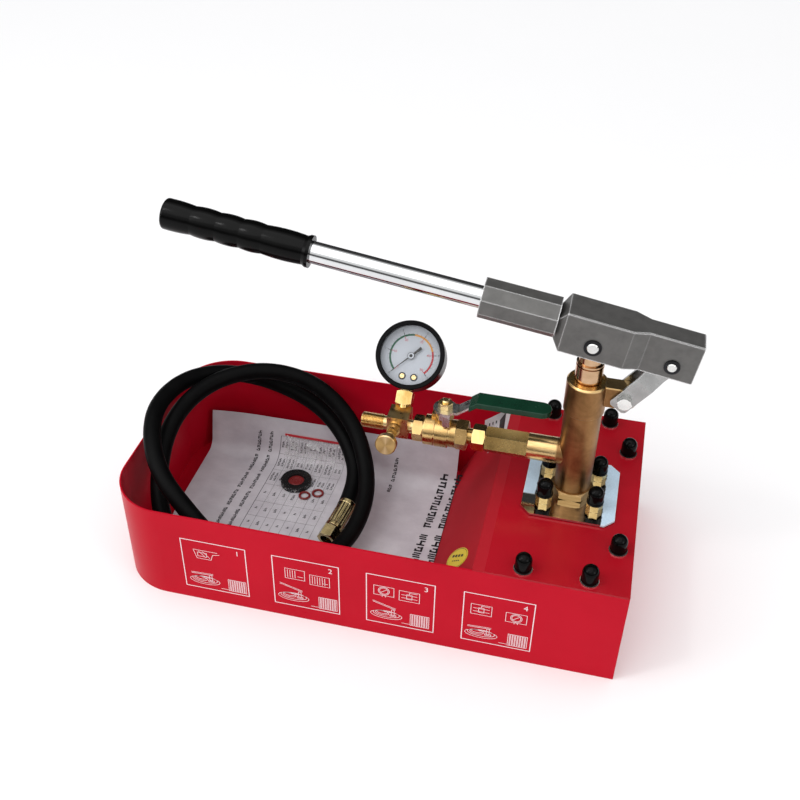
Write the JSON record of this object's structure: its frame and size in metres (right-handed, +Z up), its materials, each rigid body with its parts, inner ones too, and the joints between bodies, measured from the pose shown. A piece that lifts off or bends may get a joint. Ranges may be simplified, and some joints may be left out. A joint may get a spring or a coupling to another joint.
{
  "type": "hydrostatic test pump",
  "caption": "Hand pressure test pump: open red water tank, bronze piston pump with lever and link, check valve, ball valve, gauge, bleed screw and coiled hose.",
  "frame": {"origin": "centre of the tank's underside", "axes": "+X along the tank towards the pump, -Y towards the pictograms on the tank's side, +Z up"},
  "size_m": [0.5197, 0.246, 0.3651],
  "materials": {
    "red_paint": "glossy powder coat",
    "zinc": "zinc plated",
    "base_plate": "polished plate",
    "gasket": "matt",
    "bronze": "cast and turned bronze",
    "brass": "turned brass",
    "yellow_zinc": "yellow passivated steel",
    "black_plastic": "glossy",
    "black_paint": "gloss",
    "black_spring_steel": "blackened",
    "rubber": "matt",
    "grip_rubber": "glossy soft rubber",
    "white_ptfe": "smooth",
    "chrome": "bright",
    "cast_iron": "machined and lacquered",
    "green_vinyl": "dipped vinyl",
    "dial_white": "printed",
    "glass": "clear",
    "red_plastic": "smooth",
    "red_rubber": "smooth",
    "clear_film": "thin clear film",
    "paper": "printed paper"
  },
  "bodies": {
    "tank": {"tank": "red_paint", "deck": "red_paint", "deck_bolts": "zinc", "deck_washers": "zinc", "deck_nuts": "zinc", "deck_caps": "black_plastic", "base_gasket": "gasket", "base_plate": "base_plate", "pump_body": "bronze", "plate_bolts": "zinc", "plate_nuts": "brass", "plate_caps": "black_plastic", "gland_seal": "white_ptfe", "gland_ring": "bronze", "suction_fitting": "brass", "suction_tube": "brass", "suction_strainer": "black_plastic", "delivery_coupling": "brass", "delivery_spring": "zinc", "coupling_lock_nut": "brass", "valve_body": "brass", "valve_end": "brass", "valve_seats": "white_ptfe", "valve_packing_nut": "brass", "manifold": "brass", "gauge_socket": "brass", "gauge_case": "black_paint", "gauge_bezel": "black_paint", "gauge_dial": "dial_white", "gauge_lens": "glass", "gauge_movement": "brass", "gauge_bourdon_tube": "brass", "gauge_dial_screws": "brass", "hose": "rubber", "hose_ferrules": "yellow_zinc", "leaflet": "paper", "parts_bag": "clear_film", "parts_bag_strip": "red_plastic", "spare_seal": "rubber", "spare_o_rings": "red_rubber"},
    "piston": {"piston": "chrome"},
    "lever": {"lever_head": "cast_iron", "lever_tube": "chrome", "lever_grip": "grip_rubber", "piston_pin": "zinc", "link_pin": "zinc", "pin_clips": "black_spring_steel"},
    "link": {"link_plates": "zinc", "link_bolt": "zinc"},
    "valve_handle": {"valve_ball": "chrome", "valve_stem": "brass", "valve_handle": "zinc", "valve_handle_sleeve": "green_vinyl", "valve_handle_nut": "brass"},
    "bleed_screw": {"bleed_screw": "brass"},
    "gauge_needle": {"gauge_needle": "black_paint"},
    "suction_ball": {"suction_ball": "chrome"},
    "delivery_ball": {"delivery_ball": "chrome"},
    "hose_nut_near": {"hose_nut_near": "yellow_zinc"},
    "hose_nut_far": {"hose_nut_far": "yellow_zinc"}
  },
  "joints": [
    {"name": "piston_slide", "type": "slide", "parent": "tank", "child": "piston", "axis": [0, 0, 1], "range_m": [-0.0161, 0.0402]},
    {"name": "lever_swing", "type": "hinge", "parent": "piston", "child": "lever", "pos_m": [0.181, 0, 0.2869], "axis": [0, 1, 0], "range_deg": [-12, 30]},
    {"name": "link_swing", "type": "hinge", "parent": "tank", "child": "link", "pos_m": [0.215, 0, 0.231], "axis": [0, -1, 0], "range_deg": [-5.6, 13.9]},
    {"name": "valve_turn", "type": "hinge", "parent": "tank", "child": "valve_handle", "pos_m": [0.056, 0, 0.1565], "axis": [0, 0, -1], "range_deg": [0, 90]},
    {"name": "bleed_turn", "type": "hinge", "parent": "tank", "child": "bleed_screw", "pos_m": [0.0098, -0.01949, 0.161], "axis": [0, -0.9744, 0.225], "continuous": true},
    {"name": "needle_sweep", "type": "hinge", "parent": "tank", "child": "gauge_needle", "pos_m": [0.0136, 0.04501, 0.20477], "axis": [0, 0.7314, -0.682], "range_deg": [0, 270], "stiffness_Nm_per_rad": 0.002},
    {"name": "suction_lift", "type": "slide", "parent": "tank", "child": "suction_ball", "axis": [0, 0, 1], "range_m": [0, 0.001]},
    {"name": "delivery_lift", "type": "slide", "parent": "tank", "child": "delivery_ball", "axis": [-1, 0, 0], "range_m": [0, 0.0015], "stiffness_N_per_m": 200, "springref_m": -0.002},
    {"name": "near_nut_turn", "type": "hinge", "parent": "tank", "child": "hose_nut_near", "pos_m": [-0.05398, -0.02528, 0.01606], "axis": [-0.1988, -0.964, -0.1769], "continuous": true},
    {"name": "far_nut_turn", "type": "hinge", "parent": "tank", "child": "hose_nut_far", "pos_m": [-0.066, -0.1105, 0.0127], "axis": [1, 0, 0], "continuous": true}
  ],
  "couplings": [
    {"joint": "piston_slide", "follows": "lever_swing", "m_per_rad": 0.0765},
    {"joint": "link_swing", "follows": "lever_swing", "ratio": 0.46}
  ]
}
